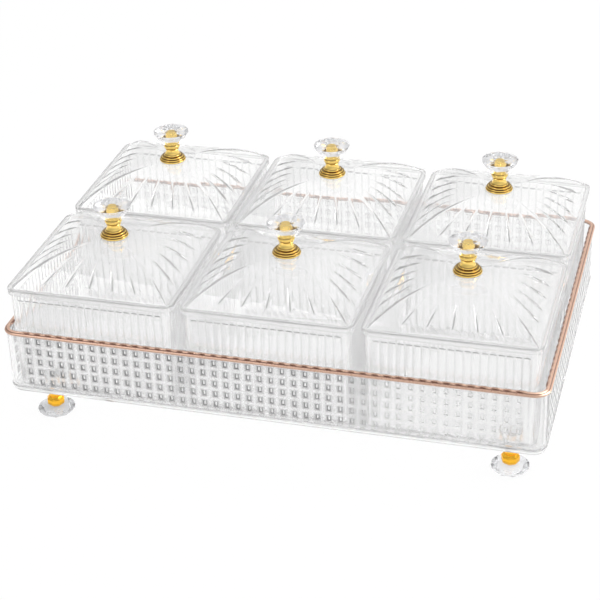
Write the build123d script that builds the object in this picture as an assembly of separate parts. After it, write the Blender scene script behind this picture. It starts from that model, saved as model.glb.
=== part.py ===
from build123d import *
from math import hypot
import os

# Snack tray on four cut-crystal feet, with six loose square boxes and a lift-off lid on each box.
# Frame: +Z up, X along the tray's length, the front is at -Y.
# The origin is at the centre of the footprint, on the surface that the feet stand on.
# All sizes are in millimetres.

# Square boxes, in columns along X and rows along Y
columns = ("left", "middle", "right")
rows = ("front", "back")
box_side = 126.0
box_height = 82.0
box_wall = 2.2
box_floor = 2.5
box_corner = 6.0
box_gap_x = 10.0
box_gap_y = 12.0

# Lid: a skirt round the box's mouth, a flat ledge, and a dome of four curved faces with a flat top
lid_wall = 2.1
lid_skirt_wall = 1.6
lid_skirt_depth = 2.4
lid_clearance = 0.8
lid_seat_land = 1.9
lid_rise = 22.0
lid_flat_half = 14.0

# Tray: an open rectangle with a flat floor and a coloured band over the wall's top edge
tray_clearance_x = 4.4
tray_clearance_y = 2.4
tray_wall = 2.6
tray_floor = 3.0
tray_height = 53.0
tray_corner = 8.0
tray_bottom_round = 2.0
rim_overhang = 1.5
rim_cap = 1.2
rim_drop = 3.2
rim_inside_lip = 0.3

# Screws, the same size in the knobs and in the feet
screw_radius = 2.0
thread_gap = 0.05
screw_hole_gap = 0.25
screw_reach = 9.0
screw_head_radius = 4.0
screw_head_height = 2.4
slot_width = 1.0
slot_depth = 0.9

# Knob: a ringed metal collar that carries a cut crystal
knob_ring_count = 4
knob_base_radius = 10.4
knob_ring_height = 1.4
knob_ring_step = 1.1
knob_ring_bulge = 0.45
knob_neck_radius = 4.7
knob_neck_top = 10.2
knob_cup_radius = 6.2
knob_cup_height = 2.6
knob_cup_flare = 1.4
spigot_radius = 2.6
spigot_length = 3.6
socket_gap = 0.1
crystal_sides = 10
knob_crystal_seat_radius = 5.8
knob_crystal_radius = 13.85
knob_crystal_table_radius = 9.2
knob_pavilion = 9.8
knob_girdle = 1.0
knob_crown = 2.6

# Foot: an eight-sided metal collar over a flat cut crystal
foot_inset_x = 27.5
foot_inset_y = 22.0
foot_flange_radius = 9.5
foot_flange_height = 2.4
foot_neck_radius = 5.4
foot_neck_height = 9.0
foot_barrel_radius = 6.8
foot_barrel_height = 10.2
foot_barrel_chamfer = 2.0
foot_barrel_sides = 8
foot_crystal_top_radius = 8.2
foot_crystal_radius = 13.5
foot_crystal_base_radius = 8.6
foot_crown = 3.2
foot_girdle = 0.8
foot_pavilion = 4.4

# Sizes that follow from the ones above
foot_crystal_height = foot_pavilion + foot_girdle + foot_crown
foot_collar_height = foot_flange_height + foot_neck_height + foot_barrel_height
tray_bottom = foot_crystal_height + foot_collar_height
tray_floor_top = tray_bottom + tray_floor
rim_top = tray_bottom + tray_height

box_pitch_x = box_side + box_gap_x
box_pitch_y = box_side + box_gap_y
inner_length = len(columns) * box_side + (len(columns) - 1) * box_gap_x + 2 * tray_clearance_x
inner_width = len(rows) * box_side + (len(rows) - 1) * box_gap_y + 2 * tray_clearance_y
wall_length = inner_length + 2 * tray_wall
wall_width = inner_width + 2 * tray_wall
tray_length = wall_length + 2 * rim_overhang
tray_width = wall_width + 2 * rim_overhang

box_top = tray_floor_top + box_height
lid_skirt_bottom = box_top - lid_skirt_depth
lid_ledge_top = box_top + lid_wall
lid_top = box_top + lid_rise
lid_recess_side = box_side + 2 * lid_clearance
lid_side = lid_recess_side + 2 * lid_skirt_wall
lid_cavity_half = box_side / 2 - lid_seat_land

knob_rings_top = knob_ring_count * knob_ring_height
knob_cup_bottom = knob_neck_top
knob_cup_top = knob_cup_bottom + knob_cup_flare + knob_cup_height
crystal_socket_radius = spigot_radius + socket_gap
crystal_socket_depth = spigot_length + socket_gap


def rounded_block(length, width, radius, low, high):
    """A block with rounded upright edges, between two heights."""
    return Pos(0, 0, low) * extrude(RectangleRounded(length, width, radius), high - low)


def disc(radius, low, high):
    """A plain upright cylinder between two heights."""
    return Pos(0, 0, low) * extrude(Circle(radius), high - low)


def turned(outline):
    """A solid turned about the Z axis from an outline in the XZ plane."""
    return revolve(make_face(Plane.XZ * outline), Axis.Z)


def cut_crystal(sides, sections):
    """A cut crystal with flat facets through many-sided sections, given as (height, radius)."""
    faces = [Pos(0, 0, height) * RegularPolygon(radius, sides) for height, radius in sections]
    return loft(faces, ruled=True)


def screw(head_low):
    """A pan-head screw, head at the bottom, with a straight driver slot."""
    head_top = head_low + screw_head_height
    head = disc(screw_head_radius, head_low, head_top)
    head = fillet(head.edges().sort_by(Axis.Z)[0], screw_head_height / 3)
    slot = Pos(0, 0, head_low) * Box(3 * screw_head_radius, slot_width, 2 * slot_depth)
    shank = disc(screw_radius, head_top, head_top + screw_reach)
    return head - slot + shank


def box_shell():
    """An open square box with rounded upright corners."""
    inner_side = box_side - 2 * box_wall
    inner_corner = box_corner - box_wall
    floor_top = tray_floor_top + box_floor
    outer = rounded_block(box_side, box_side, box_corner, tray_floor_top, box_top)
    inner = rounded_block(inner_side, inner_side, inner_corner, floor_top, box_top)
    return outer - inner


def vault(foot_half, foot, top, low):
    """A square dome: two crossed barrels with a flat top, standing on straight sides down to low."""
    run = foot_half - lid_flat_half
    rise = top - foot
    radius = (run * run + rise * rise) / (2 * rise)
    middle = hypot(run, rise) / 2
    sagitta = radius - (radius * radius - middle * middle) ** 0.5
    across = (lid_flat_half + foot_half) / 2 + sagitta * rise / (2 * middle)
    up = (top + foot) / 2 + sagitta * run / (2 * middle)
    outline = Curve() + [
        Polyline((-foot_half, foot), (-foot_half, low), (foot_half, low), (foot_half, foot)),
        ThreePointArc((foot_half, foot), (across, up), (lid_flat_half, top)),
        Line((lid_flat_half, top), (-lid_flat_half, top)),
        ThreePointArc((-lid_flat_half, top), (-across, up), (-foot_half, foot)),
    ]
    barrel = extrude(make_face(Plane.XZ * outline), foot_half, both=True)
    return barrel & Rot(0, 0, 90) * barrel


def dome_foot_half():
    """Half the side of the dome's outer foot, one wall outside the cavity's own arc."""
    run = lid_cavity_half - lid_flat_half
    rise = lid_rise - lid_wall
    radius = (run * run + rise * rise) / (2 * rise) + lid_wall
    drop = lid_top - lid_ledge_top
    return lid_flat_half + (radius * radius - (radius - drop) ** 2) ** 0.5


def lid_shell():
    """A hollow lid whose recess goes over the box's mouth, with the knob screw's hole in its top."""
    corner = box_corner + lid_clearance
    plate = rounded_block(lid_side, lid_side, corner + lid_skirt_wall, lid_skirt_bottom, lid_ledge_top)
    dome = vault(dome_foot_half(), lid_ledge_top, lid_top, box_top)
    recess = rounded_block(lid_recess_side, lid_recess_side, corner, lid_skirt_bottom, box_top)
    cavity = vault(lid_cavity_half, box_top, lid_top - lid_wall, lid_skirt_bottom)
    hole = disc(screw_radius + screw_hole_gap, lid_top - 2 * lid_wall, lid_top)
    return plate + dome - recess - cavity - hole


def knob_collar():
    """A turned collar: a foot of beaded rings, a narrow neck, a flared cup and a spigot."""
    edges = [Line((0, 0), (knob_base_radius, 0))]
    for ring in range(knob_ring_count):
        radius = knob_base_radius - ring * knob_ring_step
        low = ring * knob_ring_height
        high = low + knob_ring_height
        bead = (radius + knob_ring_bulge, (low + high) / 2)
        inner = radius - knob_ring_step if ring < knob_ring_count - 1 else knob_cup_radius
        edges.append(ThreePointArc((radius, low), bead, (radius, high)))
        edges.append(Line((radius, high), (inner, high)))
    neck_middle = (knob_neck_radius, (knob_rings_top + knob_cup_bottom) / 2)
    neck_top = (knob_neck_radius, knob_cup_bottom)
    flare_top = knob_cup_bottom + knob_cup_flare
    edges.append(ThreePointArc((knob_cup_radius, knob_rings_top), neck_middle, neck_top))
    edges.append(
        Polyline(
            neck_top,
            (knob_cup_radius, flare_top),
            (knob_cup_radius, knob_cup_top),
            (spigot_radius, knob_cup_top),
            (spigot_radius, knob_cup_top + spigot_length),
            (0, knob_cup_top + spigot_length),
            (0, 0),
        )
    )
    bore = disc(screw_radius + thread_gap, 0, screw_reach)
    return turned(Curve() + edges) - bore


def knob_crystal():
    """A cut crystal: a deep pavilion on the collar's cup, a thin girdle and a low crown."""
    girdle = knob_cup_top + knob_pavilion
    crown = girdle + knob_girdle
    body = cut_crystal(
        crystal_sides,
        (
            (knob_cup_top, knob_crystal_seat_radius),
            (girdle, knob_crystal_radius),
            (crown, knob_crystal_radius),
            (crown + knob_crown, knob_crystal_table_radius),
        ),
    )
    return body - disc(crystal_socket_radius, knob_cup_top, knob_cup_top + crystal_socket_depth)


def tray_shell():
    """The open tray, with countersunk holes in its floor for the feet's screws."""
    wall_top = rim_top - rim_cap
    outer = rounded_block(wall_length, wall_width, tray_corner + tray_wall, tray_bottom, wall_top)
    outer = fillet(outer.faces().sort_by(Axis.Z)[0].edges(), tray_bottom_round)
    shell = outer - rounded_block(inner_length, inner_width, tray_corner, tray_floor_top, wall_top)
    sink = countersink(screw_hole_gap)
    for x, y in foot_places():
        shell -= Pos(x, y, 0) * sink
    return shell


def countersink(gap):
    """A flat screw head's cone and its shank, larger than the screw by the gap."""
    cone_low = tray_floor_top - (screw_head_radius - screw_radius)
    profile = Polyline(
        (0, tray_bottom - screw_reach),
        (screw_radius + gap, tray_bottom - screw_reach),
        (screw_radius + gap, cone_low),
        (screw_head_radius + gap, tray_floor_top),
        (0, tray_floor_top),
        (0, tray_bottom - screw_reach),
    )
    return turned(profile)


def rim_band():
    """A thin band over the wall's top edge and down its outside."""
    inside_length = inner_length - 2 * rim_inside_lip
    inside_width = inner_width - 2 * rim_inside_lip
    wall_top = rim_top - rim_cap
    low = wall_top - rim_drop
    outer_corner = tray_corner + tray_wall + rim_overhang
    band = rounded_block(tray_length, tray_width, outer_corner, low, rim_top)
    band -= rounded_block(wall_length, wall_width, tray_corner + tray_wall, low, wall_top)
    band -= rounded_block(inside_length, inside_width, tray_corner - rim_inside_lip, wall_top, rim_top)
    top_edges = band.edges().group_by(Axis.Z)[-1]
    return chamfer(top_edges, rim_cap / 3)


def foot_screw():
    """A flat-head screw, flush with the tray's floor, with a straight driver slot."""
    slot = Pos(0, 0, tray_floor_top) * Box(3 * screw_head_radius, slot_width, 2 * slot_depth)
    return countersink(0) - slot


def foot_collar():
    """A flange and a neck under the tray, over an eight-sided barrel and a spigot."""
    barrel_top = foot_crystal_height + foot_barrel_height
    flange_low = tray_bottom - foot_flange_height
    flat_radius = foot_barrel_radius - foot_barrel_chamfer
    prism = Pos(0, 0, foot_crystal_height) * extrude(
        RegularPolygon(foot_barrel_radius, foot_barrel_sides), foot_barrel_height
    )
    chamfered = turned(
        Polyline(
            (0, foot_crystal_height),
            (flat_radius, foot_crystal_height),
            (foot_barrel_radius, foot_crystal_height + foot_barrel_chamfer),
            (foot_barrel_radius, barrel_top - foot_barrel_chamfer),
            (flat_radius, barrel_top),
            (0, barrel_top),
            (0, foot_crystal_height),
        )
    )
    neck = disc(foot_neck_radius, barrel_top, flange_low)
    flange = disc(foot_flange_radius, flange_low, tray_bottom)
    spigot = disc(spigot_radius, foot_crystal_height - spigot_length, foot_crystal_height)
    bore = disc(screw_radius + thread_gap, tray_bottom - screw_reach, tray_bottom)
    return (prism & chamfered) + neck + flange + spigot - bore


def foot_crystal():
    """A flat cut crystal that stands on its base facet."""
    girdle = foot_pavilion
    crown = girdle + foot_girdle
    body = cut_crystal(
        crystal_sides,
        (
            (0, foot_crystal_base_radius),
            (girdle, foot_crystal_radius),
            (crown, foot_crystal_radius),
            (foot_crystal_height, foot_crystal_top_radius),
        ),
    )
    socket_low = foot_crystal_height - crystal_socket_depth
    return body - disc(crystal_socket_radius, socket_low, foot_crystal_height)


def foot_places():
    """The four feet's places, left to right along the front and then along the back."""
    x = wall_length / 2 - foot_inset_x
    y = wall_width / 2 - foot_inset_y
    return [(-x, -y), (x, -y), (-x, y), (x, y)]


def box_places():
    """Each box's name and place, such as front_left."""
    places = []
    for row, row_name in enumerate(rows):
        for column, column_name in enumerate(columns):
            x = (column - (len(columns) - 1) / 2) * box_pitch_x
            y = (row - (len(rows) - 1) / 2) * box_pitch_y
            places.append((f"{row_name}_{column_name}", x, y))
    return places


def build():
    """Every sub-part by its node name."""
    nodes = {"tray": tray_shell(), "rim_band": rim_band()}
    names = ("front_left", "front_right", "back_left", "back_right")
    collar = foot_collar()
    crystal = foot_crystal()
    for name, (x, y) in zip(names, foot_places()):
        nodes[f"foot_collar_{name}"] = Pos(x, y, 0) * collar
        nodes[f"foot_crystal_{name}"] = Pos(x, y, 0) * crystal
    fastener = foot_screw()
    nodes["foot_screws"] = Compound([Pos(x, y, 0) * fastener for x, y in foot_places()])

    box = box_shell()
    lid = lid_shell()
    knob_low = Pos(0, 0, lid_top)
    knob_parts = {
        "knob_collar": knob_low * knob_collar(),
        "knob_crystal": knob_low * knob_crystal(),
        "knob_screw": screw(lid_top - lid_wall - screw_head_height),
    }
    for name, x, y in box_places():
        nodes[f"box_{name}"] = Pos(x, y, 0) * box
        nodes[f"lid_{name}"] = Pos(x, y, 0) * lid
        for part, solid in knob_parts.items():
            nodes[f"{part}_{name}"] = Pos(x, y, 0) * solid
    return nodes


def main():
    """Write one STEP file for each sub-part and print the overall sizes."""
    os.makedirs("parts", exist_ok=True)
    for name, shape in build().items():
        export_step(shape, f"parts/{name}.step")
    knob_top = lid_top + knob_cup_top + knob_pavilion + knob_girdle + knob_crown
    print(f"tray {tray_length:.1f} by {tray_width:.1f}, rim at {rim_top:.1f}")
    print(f"top of the knobs {knob_top:.1f}")


main()
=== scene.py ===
"""Looks of a clear snack tray that holds six lidded boxes.

Everything is in metres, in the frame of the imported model: +Z up, X along the tray, the front at -Y.
"""

import logging
import math
from dataclasses import dataclass
from enum import Enum
from typing import Any, Callable, Iterable, Sequence

import bmesh
import bpy
from mathutils import Matrix, Vector


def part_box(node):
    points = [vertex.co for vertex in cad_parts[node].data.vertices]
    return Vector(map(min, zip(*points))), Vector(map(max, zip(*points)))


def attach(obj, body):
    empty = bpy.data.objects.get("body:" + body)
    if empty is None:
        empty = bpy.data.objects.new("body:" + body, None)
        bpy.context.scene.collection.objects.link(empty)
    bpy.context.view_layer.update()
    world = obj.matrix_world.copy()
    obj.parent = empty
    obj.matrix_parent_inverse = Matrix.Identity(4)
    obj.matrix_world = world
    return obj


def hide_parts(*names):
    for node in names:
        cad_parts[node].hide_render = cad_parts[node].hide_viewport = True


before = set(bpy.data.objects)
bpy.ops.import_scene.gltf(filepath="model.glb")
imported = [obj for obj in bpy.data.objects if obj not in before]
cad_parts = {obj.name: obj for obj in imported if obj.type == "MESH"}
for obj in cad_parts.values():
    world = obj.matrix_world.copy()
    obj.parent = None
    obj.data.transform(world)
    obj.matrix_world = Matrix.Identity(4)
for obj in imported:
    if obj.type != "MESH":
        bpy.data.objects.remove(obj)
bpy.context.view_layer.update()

LOG = logging.getLogger("snack_tray")
# Each vertex's share of painted shade, which darkens edges, grooves and creases where the real plastic and
# metal show shade and refraction; below 0 it is white haze instead.
EDGE_SHADE_AND_HAZE = "edge_tint"
RING_PLACE = "ring_place"
PLACES = tuple(f"{row}_{column}" for row in ("front", "back") for column in ("left", "middle", "right"))
FEET = ("front_left", "front_right", "back_left", "back_right")
TRAY_BODY = "tray_on_feet"
# An outward direction with a Y below this faces the front.
FRONT_FACING = -0.5
# How far the middle of a rounded edge lies inside its corner, as a share of the radius.
ROUND_SHARE = 0.29
# Nearly all of a noise texture's values lie between these two.
NOISE_LOW = 0.3
NOISE_HIGH = 0.7
# A length in metres that is too small to count.
TINY = 1e-6
# The boxes' corners seen from above, which the lids' skirts follow.
BOX_CORNER = 0.006

# Takes a vertex's place, outward direction and height, and gives its depth and its edge tint.
Relief = Callable[[Vector, Vector, float], tuple[float, float]]


class Slot(Enum):
    """The record's material slots. Each new piece holds the one it belongs to."""

    TRAY = "clear_tray"
    BOX = "clear_box"
    LID = "clear_lid"
    RIM = "rose_gold_rim"
    KNOB_GOLD = "gold_plate"
    FOOT_GOLD = "amber_gold_plate"
    CRYSTAL = "cut_crystal"


class Tint(float, Enum):
    """How strongly an edge's painted shade shows: a share of the edge colour, or of white haze where it is
    below 0.
    """

    HAZE = -0.8
    THIN_HAZE = -0.3
    NONE = 0.0
    FAINT = 0.1
    SOFT = 0.15
    PALE = 0.2
    LIGHT = 0.3
    HALF = 0.5
    FIRM = 0.6
    DEEP = 0.7
    GROOVE = 0.75
    DARK = 0.8
    STRONG = 0.9
    FULL = 1.0


class Shading(Enum):
    """How a piece's faces meet: as flat facets, or smooth up to an angle in degrees."""

    FACETS = 0
    MOULDED = 28
    TURNED = 38


def linear(colour: str) -> tuple[float, float, float, float]:
    """Turns an sRGB hex colour to linear values.

    Args:
        colour: A colour such as "#E8B04A".

    Returns:
        Linear red, green, blue and an alpha of 1.
    """
    parts = [int(colour[i : i + 2], 16) / 255 for i in (1, 3, 5)]
    red, green, blue = (p / 12.92 if p <= 0.04045 else ((p + 0.055) / 1.055) ** 2.4 for p in parts)
    return red, green, blue, 1.0


def add_node(
    tree: bpy.types.NodeTree, kind: str, inputs: dict[Any, Any] | None = None, **settings: Any
) -> bpy.types.Node:
    """Adds one node with its settings and links.

    Args:
        tree: The node tree that the node goes into.
        kind: The node's type, such as "ShaderNodeMix".
        inputs: Values or output sockets, by the name or number of the input that takes them.
        **settings: Attributes of the node, such as blend_type.

    Returns:
        The new node.
    """
    node = tree.nodes.new(kind)
    for name, value in settings.items():
        setattr(node, name, value)
    for name, value in (inputs or {}).items():
        if isinstance(value, bpy.types.NodeSocket):
            tree.links.new(value, node.inputs[name])
        else:
            node.inputs[name].default_value = value
    return node


def empty_tree(owner: Any) -> bpy.types.NodeTree:
    """Gives a material or a world an empty node tree.

    Args:
        owner: The material or world.

    Returns:
        Its node tree.
    """
    owner.use_nodes = True
    owner.node_tree.nodes.clear()
    return owner.node_tree


def add_object(name: str, data: Any) -> bpy.types.Object:
    """Adds an object to the scene.

    Args:
        name: The object's name.
        data: Its mesh, light or camera.

    Returns:
        The new object.
    """
    made = bpy.data.objects.new(name, data)
    bpy.context.scene.collection.objects.link(made)
    return made


def smooth_step(value: float, low: float, high: float) -> float:
    """Rises smoothly from 0 at low to 1 at high.

    Args:
        value: The value to place between the two limits.
        low: Where the rise starts.
        high: Where the rise ends.

    Returns:
        A share from 0 to 1.
    """
    share = min(1.0, max(0.0, (value - low) / (high - low)))
    return share * share * (3 - 2 * share)


@dataclass(frozen=True)
class ClearPlastic:
    """Clear injection-moulded plastic. The eye sees through it, and painted shade draws its thick edges as
    grey lines.
    """

    name: str
    # The colour of the painted shade on the edges.
    edge_tint: str
    clarity: float
    body_tint: str = "#FEFEFE"
    ior: float = 1.50
    edge_clarity: float = 0.25
    roughness: float = 0.015
    haze_spread: float = 0.5
    wave_detail: float = 1.0
    wave_size: float = 0.018
    wave_height: float = 0.00002
    shadow_tint: str = "#FDFDFD"

    def material(self) -> bpy.types.Material:
        """Builds the material: light goes through, with faint moulding waves and grey painted shade at the
        edges.

        Returns:
            The material.
        """
        made = bpy.data.materials.new(self.name)
        tree = empty_tree(made)
        place = add_node(tree, "ShaderNodeTexCoord").outputs["Object"]
        noise = {"Vector": place, "Scale": 1 / self.wave_size, "Detail": self.wave_detail}
        waves = add_node(tree, "ShaderNodeTexNoise", noise)
        wave = waves.outputs["Fac"]
        # Painted shade: the mesh's share of grey on each edge.
        edge = add_node(tree, "ShaderNodeAttribute", attribute_name=EDGE_SHADE_AND_HAZE).outputs["Fac"]
        haze = add_node(
            tree,
            "ShaderNodeMapRange",
            {
                "Value": wave,
                "From Min": NOISE_LOW,
                "From Max": NOISE_HIGH,
                "To Min": self.roughness * (1 - self.haze_spread),
                "To Max": self.roughness * (1 + self.haze_spread),
            },
        )
        tints = {0: edge, 6: linear(self.body_tint), 7: linear(self.edge_tint)}
        tint = add_node(tree, "ShaderNodeMix", tints, data_type="RGBA")
        amount = add_node(tree, "ShaderNodeMath", {0: edge}, operation="ABSOLUTE").outputs[0]
        limits = {"Value": amount, "To Min": self.clarity, "To Max": self.edge_clarity}
        clear = add_node(tree, "ShaderNodeMapRange", limits)
        swell = {"Height": wave, "Strength": 1.0, "Distance": self.wave_height}
        bump = add_node(tree, "ShaderNodeBump", swell)
        body = add_node(
            tree,
            "ShaderNodeBsdfPrincipled",
            {
                "Base Color": tint.outputs[2],
                "Roughness": haze.outputs["Result"],
                "IOR": self.ior,
                "Transmission Weight": clear.outputs["Result"],
                "Normal": bump.outputs["Normal"],
            },
        )
        rays = add_node(tree, "ShaderNodeLightPath").outputs
        soft_rays = {0: rays["Is Shadow Ray"], 1: rays["Is Diffuse Ray"]}
        soft = add_node(tree, "ShaderNodeMath", soft_rays, operation="MAXIMUM").outputs[0]
        through = add_node(tree, "ShaderNodeBsdfTransparent", {"Color": linear(self.shadow_tint)})
        mixed = add_node(tree, "ShaderNodeMixShader", {0: soft, 1: body.outputs[0], 2: through.outputs[0]})
        add_node(tree, "ShaderNodeOutputMaterial", {"Surface": mixed.outputs[0]})
        return made


@dataclass(frozen=True)
class CutCrystal:
    """Machine-cut and fire-polished crystal glass. Its facets flash, and its ridges are a little grey."""

    name: str = "cut_crystal_glass"
    tint: str = "#FBFBFC"
    clarity: float = 1.0
    ior: float = 1.54
    swirl_tint: str = "#F3F4F7"
    swirl_size: float = 0.004545
    swirl_detail: float = 2.0
    shadow_tint: str = "#E6E8EA"

    def material(self) -> bpy.types.Material:
        """Builds the material: smooth glass with the faintest swirl in it.

        Returns:
            The material.
        """
        made = bpy.data.materials.new(self.name)
        tree = empty_tree(made)
        place = add_node(tree, "ShaderNodeTexCoord").outputs["Object"]
        noise = {"Vector": place, "Scale": 1 / self.swirl_size, "Detail": self.swirl_detail}
        swirl = add_node(tree, "ShaderNodeTexNoise", noise)
        tints = {0: swirl.outputs["Fac"], 6: linear(self.tint), 7: linear(self.swirl_tint)}
        tint = add_node(tree, "ShaderNodeMix", tints, data_type="RGBA")
        body = add_node(
            tree,
            "ShaderNodeBsdfPrincipled",
            {
                "Base Color": tint.outputs[2],
                "Roughness": 0.0,
                "IOR": self.ior,
                "Transmission Weight": self.clarity,
            },
        )
        shadow = add_node(tree, "ShaderNodeLightPath").outputs["Is Shadow Ray"]
        through = add_node(tree, "ShaderNodeBsdfTransparent", {"Color": linear(self.shadow_tint)})
        mixed = add_node(tree, "ShaderNodeMixShader", {0: shadow, 1: body.outputs[0], 2: through.outputs[0]})
        add_node(tree, "ShaderNodeOutputMaterial", {"Surface": mixed.outputs[0]})
        return made


@dataclass(frozen=True)
class PlatedMetal:
    """Thin bright plate or foil. It mirrors its surroundings, and painted shade keeps its grooves dark.

    The polishing marks are finer than the render can show, so they are drawn at 0.6 mm.
    """

    name: str
    colour: str
    groove_shade_colour: str
    roughness: float
    grain: float = 0.0006
    grain_detail: float = 3.0
    haze_spread: float = 0.3

    def material(self) -> bpy.types.Material:
        """Builds the material: a polished metal with fine polishing haze, and painted shade in its grooves.

        Returns:
            The material.
        """
        made = bpy.data.materials.new(self.name)
        tree = empty_tree(made)
        place = add_node(tree, "ShaderNodeTexCoord").outputs["Object"]
        noise = {"Vector": place, "Scale": 1 / self.grain, "Detail": self.grain_detail}
        haze = add_node(tree, "ShaderNodeTexNoise", noise)
        # Painted shade in the grooves, read from the mesh.
        groove = add_node(tree, "ShaderNodeAttribute", attribute_name=EDGE_SHADE_AND_HAZE).outputs["Fac"]
        tints = {0: groove, 6: linear(self.colour), 7: linear(self.groove_shade_colour)}
        colour = add_node(tree, "ShaderNodeMix", tints, data_type="RGBA")
        gloss = add_node(
            tree,
            "ShaderNodeMapRange",
            {
                "Value": haze.outputs["Fac"],
                "From Min": NOISE_LOW,
                "From Max": NOISE_HIGH,
                "To Min": self.roughness * (1 - self.haze_spread),
                "To Max": self.roughness * (1 + self.haze_spread),
            },
        )
        finish = {"Base Color": colour.outputs[2], "Roughness": gloss.outputs["Result"], "Metallic": 1.0}
        body = add_node(tree, "ShaderNodeBsdfPrincipled", finish)
        add_node(tree, "ShaderNodeOutputMaterial", {"Surface": body.outputs[0]})
        return made


@dataclass(frozen=True)
class Plan:
    """A rounded rectangle seen from above, about the shell's own centre."""

    half_x: float
    half_y: float
    corner: float = 0.0

    def inset(self, depth: float) -> "Plan":
        """Gives the same outline moved inwards by a depth."""
        return Plan(self.half_x - depth, self.half_y - depth, max(self.corner - depth, 0.0))

    def place(self, ring_place: Vector) -> tuple[Vector, Vector]:
        """Puts one vertex of a ring on the outline.

        Args:
            ring_place: The vertex's place on a square of half size 1.

        Returns:
            The point on the outline, and the direction that faces outwards there.
        """
        point = Vector((ring_place.x * self.half_x, ring_place.y * self.half_y, 0))
        if self.corner <= 0:
            sideways = abs(ring_place.x) > abs(ring_place.y)
            outward = Vector((ring_place.x, 0, 0)) if sideways else Vector((0, ring_place.y, 0))
            return point, outward.normalized()
        limit = Vector((self.half_x - self.corner, self.half_y - self.corner, 0))
        centre = Vector([min(max(at, -most), most) for at, most in zip(point, limit)])
        outward = (point - centre).normalized()
        return centre + outward * self.corner, outward


class Shell:
    """A mesh that grows ring by ring. Each ring has the same vertices, laid along another outline."""

    def __init__(self) -> None:
        """Starts an empty mesh with the layers that the rings use."""
        self.mesh = bmesh.new()
        self.ring_place = self.mesh.verts.layers.float_vector.new(RING_PLACE)
        # Each vertex's share of painted edge shade, or of white haze below 0.
        self.tint = self.mesh.verts.layers.float.new(EDGE_SHADE_AND_HAZE)
        self.edges: list[bmesh.types.BMEdge] = []
        self.first: list[bmesh.types.BMEdge] = []
        self.fresh = True

    def start(self, stops_x: Sequence[float], stops_y: Sequence[float]) -> None:
        """Makes a square ring whose vertices lie at the given stops.

        Args:
            stops_x: Places from -1 to 1 along the two sides that run along X, both ends included.
            stops_y: The same along the two sides that run along Y.
        """
        corners = bmesh.ops.create_grid(self.mesh, x_segments=1, y_segments=1, size=1.0)["verts"]
        bmesh.ops.delete(self.mesh, geom=list(corners[0].link_faces), context="FACES_ONLY")
        sides = list({e for v in corners for e in v.link_edges})
        for axis, stops in enumerate((stops_x, stops_y)):
            parts = len(stops) - 1
            along = [e for e in sides if abs(e.verts[0].co[axis] - e.verts[1].co[axis]) > 1]
            sides = [e for e in sides if e not in along]
            cut = bmesh.ops.subdivide_edges(self.mesh, edges=along, cuts=parts - 1)
            inner = [g for g in cut["geom_inner"] if isinstance(g, bmesh.types.BMVert)]
            for vert in inner:
                vert.co[axis] = stops[round((vert.co[axis] + 1) / 2 * parts)]
        ring = self.joined_to(inner[0])
        for vert in ring:
            vert[self.ring_place] = vert.co.copy()
        self.edges = list({e for v in ring for e in v.link_edges})
        self.first = list(self.edges)
        self.fresh = True

    @staticmethod
    def joined_to(start: bmesh.types.BMVert) -> list[bmesh.types.BMVert]:
        """Lists the vertices that edges join to one vertex.

        Args:
            start: The vertex.

        Returns:
            All the vertices of its loop, itself included.
        """
        found, queue = {start}, [start]
        while queue:
            for edge in queue.pop().link_edges:
                other = edge.verts[1] if edge.verts[0] in found else edge.verts[0]
                if other not in found:
                    found.add(other)
                    queue.append(other)
        return list(found)

    def ring(self, plan: Plan, height: float, relief: Relief | None = None, tint: float = 0.0) -> list[Any]:
        """Grows the shell by one ring.

        Args:
            plan: The outline that the ring follows.
            height: The ring's height.
            relief: Gives a vertex's depth below the outline and its tint, from its place, its
                outward direction and its height.
            tint: The edge tint of a ring without relief.

        Returns:
            The faces between this ring and the one before it.
        """
        if self.fresh:
            self.fresh = False
            faces: list[Any] = []
        else:
            made = bmesh.ops.extrude_edge_only(self.mesh, edges=self.edges)["geom"]
            faces = [g for g in made if isinstance(g, bmesh.types.BMFace)]
            ends = {g for g in made if isinstance(g, bmesh.types.BMVert)}
            edges = [g for g in made if isinstance(g, bmesh.types.BMEdge)]
            self.edges = [e for e in edges if e.verts[0] in ends and e.verts[1] in ends]
        for vert in {v for e in self.edges for v in e.verts}:
            point, outward = plan.place(vert[self.ring_place])
            depth, vert[self.tint] = relief(point, outward, height) if relief else (0.0, tint)
            vert.co = point - outward * depth
            vert.co.z = height
        return faces

    def rings(self, plan: Plan, rows: Iterable[tuple[float, float, float]]) -> None:
        """Grows the shell by several rings without relief.

        Args:
            plan: The outline that their insets start from.
            rows: For each ring its inset, its height and its tint.
        """
        for inset, height, tint in rows:
            self.ring(plan.inset(inset), height, tint=tint)

    def fill(self, edges: Iterable[bmesh.types.BMEdge]) -> None:
        """Closes a ring with one flat face."""
        bmesh.ops.contextual_create(self.mesh, geom=list(edges))


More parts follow.
